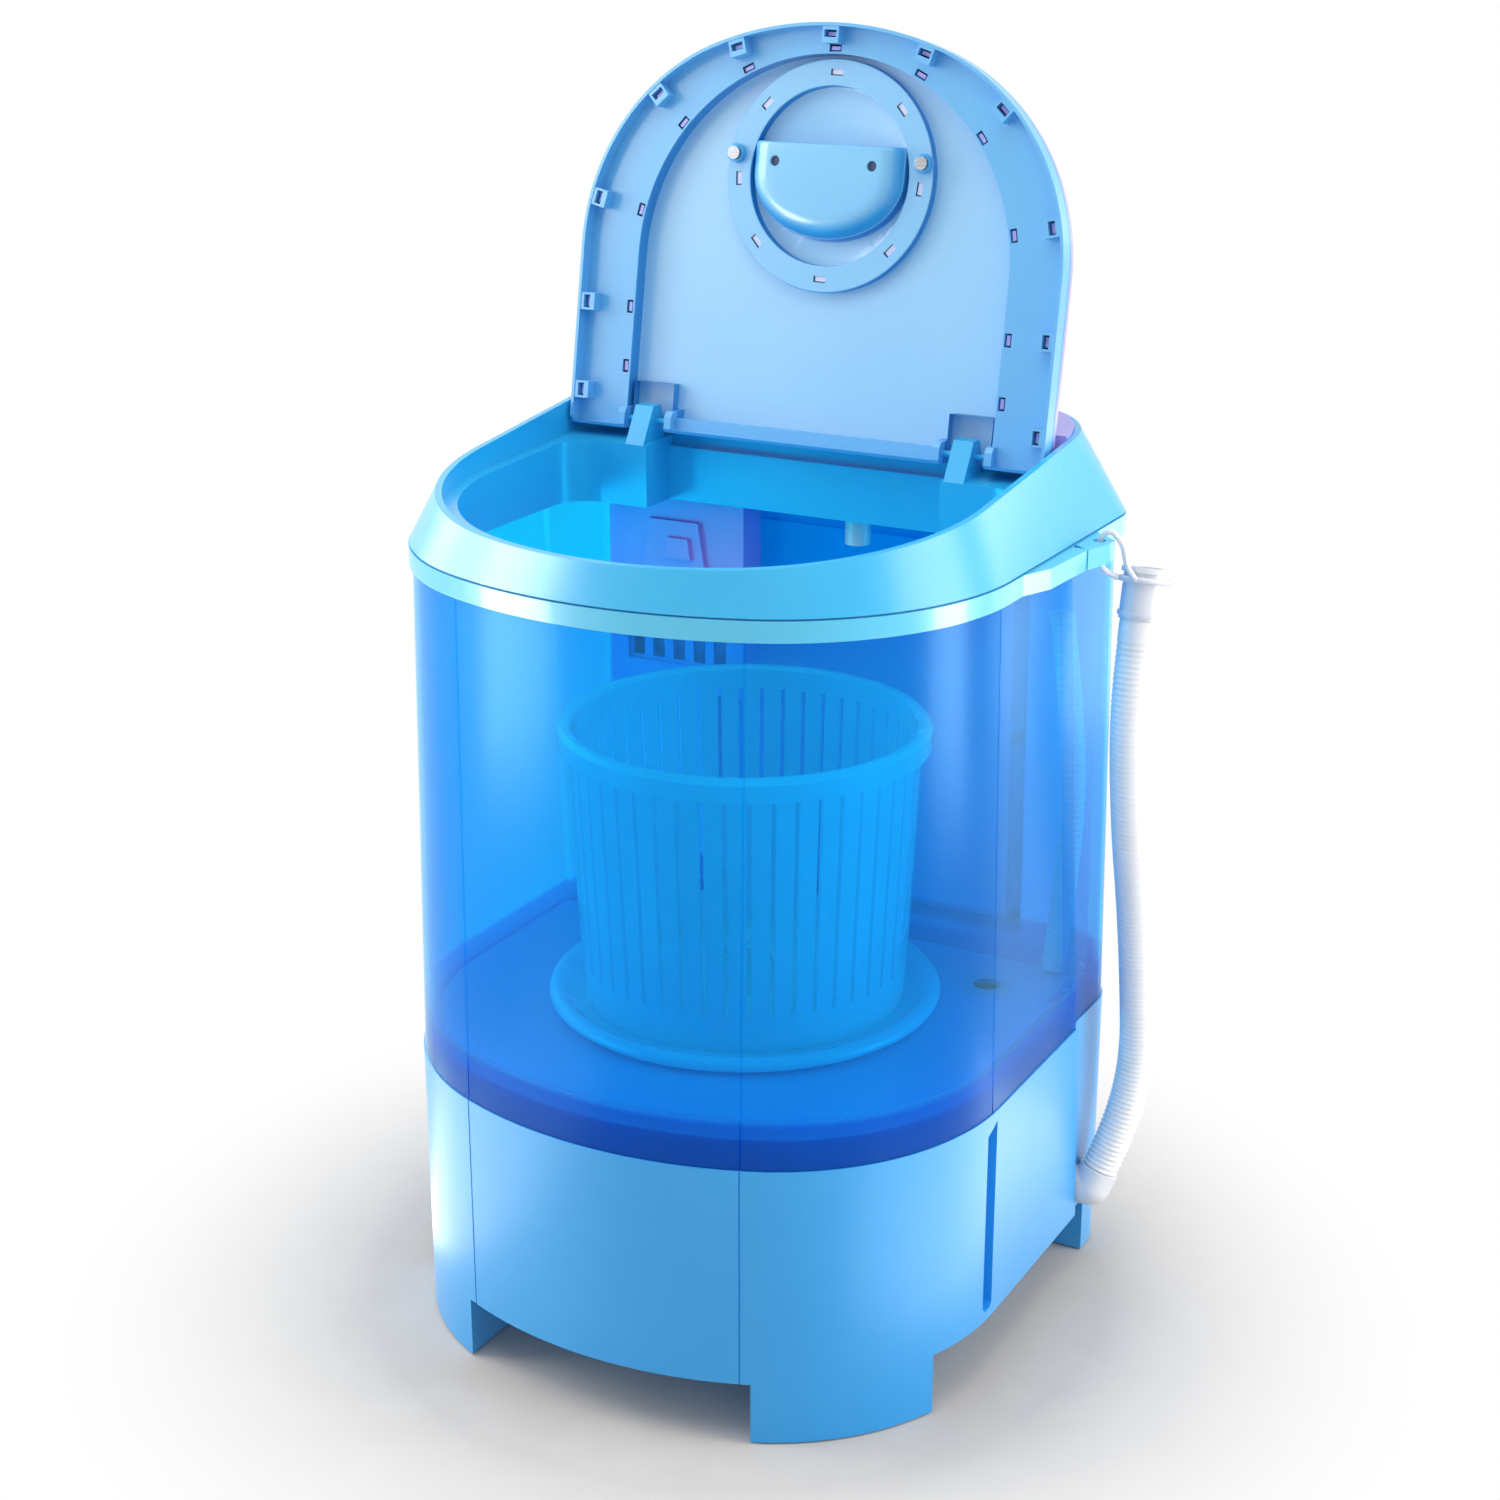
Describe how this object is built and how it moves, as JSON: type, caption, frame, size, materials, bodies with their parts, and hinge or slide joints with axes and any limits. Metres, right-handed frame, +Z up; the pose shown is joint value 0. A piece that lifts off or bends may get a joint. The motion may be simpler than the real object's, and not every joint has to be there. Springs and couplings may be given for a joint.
{
  "type": "top load washing machine",
  "caption": "Compact top load washing machine with a translucent tub, slotted spin basket, hinged lid with a round hand grip, lint filter and a side drain hose",
  "frame": {"origin": "centre of the machine's plan on the floor, under the middle of its four foot pads' floor plane", "axes": "+X to the machine's right seen from its front, where the drain hose is; +Y to the rear, where the lid hinges; +Z up"},
  "size_m": [0.403, 0.343, 0.7303],
  "materials": {
    "base_plastic": "glossy sky blue moulded plastic",
    "rim_plastic": "glossy pale cyan moulded plastic",
    "collar_plastic": "glossy cyan blue moulded plastic",
    "tub_plastic": "clear blue moulded plastic",
    "lid_plastic": "satin sky blue moulded plastic",
    "lilac_plastic": "glossy lilac moulded plastic",
    "basket_plastic": "milky blue moulded plastic",
    "white_plastic": "white plastic",
    "hose_plastic": "milky white soft plastic",
    "dark_plastic": "dark grey plastic",
    "foot_rubber": "black rubber",
    "steel": "plated steel",
    "pulley_metal": "cast aluminium",
    "motor_metal": "painted steel casing"
  },
  "bodies": {
    "cabinet": {"base_housing": "base_plastic", "bottom_cover": "base_plastic", "bottom_cover_screws": "steel", "foot_pad_front_left": "foot_rubber", "foot_pad_front_right": "foot_rubber", "foot_pad_rear_left": "foot_rubber", "foot_pad_rear_right": "foot_rubber", "cord_gland": "dark_plastic", "tub": "tub_plastic", "rim": "rim_plastic", "collar": "collar_plastic", "splash_plate": "collar_plastic", "control_panel": "lilac_plastic", "inlet_pipe": "white_plastic", "timer_unit": "dark_plastic", "selector_unit": "dark_plastic", "rear_cover": "base_plastic", "rear_cover_screws": "steel", "shaft_seal": "foot_rubber", "bearing_housing": "dark_plastic", "bearing_screws": "steel", "lower_bearing": "steel", "upper_bearing": "steel", "drive_belt": "foot_rubber", "motor_plate": "pulley_metal", "motor_plate_screws": "steel", "motor_housing": "motor_metal", "capacitor": "white_plastic", "capacitor_clamp": "pulley_metal", "drain_spout": "dark_plastic", "drain_pipe": "dark_plastic", "drain_outlet": "base_plastic", "drain_hose": "hose_plastic", "hose_cuff": "hose_plastic", "hose_hook": "white_plastic", "filter_housing": "lilac_plastic", "filter_clip": "lilac_plastic"},
    "lid": {"lid_panel": "lid_plastic", "lid_cover": "lilac_plastic", "lid_grip": "lid_plastic", "lid_grip_screws": "steel", "hinge_pin_left": "steel", "hinge_pin_right": "steel"},
    "drum": {"basket": "basket_plastic", "pulsator": "basket_plastic", "basket_lock_nut": "basket_plastic", "drive_shaft": "steel", "drive_pulley": "pulley_metal"},
    "motor": {"motor_rotor": "steel", "motor_pulley": "pulley_metal"},
    "timer_dial": {"timer_knob": "white_plastic", "timer_shaft": "steel"},
    "selector_dial": {"selector_knob": "white_plastic", "selector_shaft": "steel"},
    "filter": {"filter_screen": "white_plastic"}
  },
  "joints": [
    {"name": "lid_hinge", "type": "hinge", "parent": "cabinet", "child": "lid", "pos_m": [0, 0.07773, 0.50333], "axis": [1, 0, 0], "range_deg": [0, 102.5]},
    {"name": "drum_spin", "type": "hinge", "parent": "cabinet", "child": "drum", "pos_m": [0, 0.008, 0.2], "axis": [0, 0, 1], "continuous": true},
    {"name": "motor_spin", "type": "hinge", "parent": "cabinet", "child": "motor", "pos_m": [-0.086, 0.08, 0.1], "axis": [0, 0, 1], "continuous": true},
    {"name": "timer_turn", "type": "hinge", "parent": "cabinet", "child": "timer_dial", "pos_m": [-0.072, 0.12008, 0.51697], "axis": [0, -0.1142, 0.9935], "range_deg": [0, 300]},
    {"name": "selector_turn", "type": "hinge", "parent": "cabinet", "child": "selector_dial", "pos_m": [0.072, 0.12008, 0.51697], "axis": [0, -0.1142, 0.9935], "range_deg": [0, 90]},
    {"name": "filter_lift", "type": "slide", "parent": "cabinet", "child": "filter", "axis": [0, 0, 1], "range_m": [0, 0.01]}
  ],
  "couplings": [
    {"joint": "motor_spin", "follows": "drum_spin", "ratio": 4}
  ]
}
